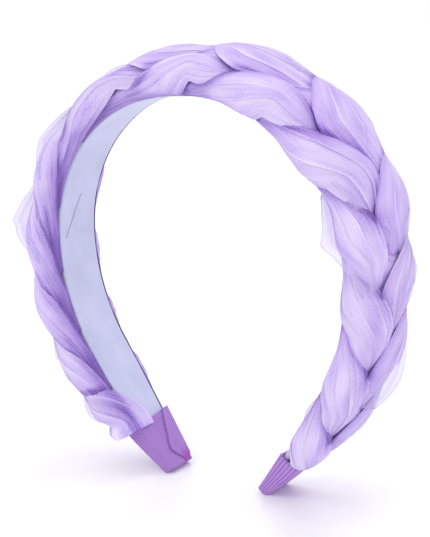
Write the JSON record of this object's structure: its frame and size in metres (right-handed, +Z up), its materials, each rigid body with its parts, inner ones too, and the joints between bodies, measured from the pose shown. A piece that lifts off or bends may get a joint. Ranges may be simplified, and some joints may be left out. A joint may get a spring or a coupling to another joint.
{
  "type": "braided headband",
  "caption": "Springy hoop headband lined with satin, with a three-strand organza braid over the outside and ribbon-wrapped tips.",
  "frame": {"origin": "on the floor midway between the two tips, at the middle of the part's bounding box", "axes": "+X across the head towards the right tip of the picture, -Y the band's front edge, +Z up to the crown"},
  "size_m": [0.1533, 0.0395, 0.16],
  "materials": {
    "satin": "pale blue-grey satin with a soft sheen",
    "organza": "sheer lilac organza gathered into soft pleats",
    "ribbon": "purple grosgrain ribbon, finely ribbed"
  },
  "bodies": {
    "root": {"satin_band": "satin", "strand_1": "organza", "strand_2": "organza", "strand_3": "organza", "tip_wrap_left": "ribbon", "tip_wrap_right": "ribbon"}
  },
  "joints": []
}
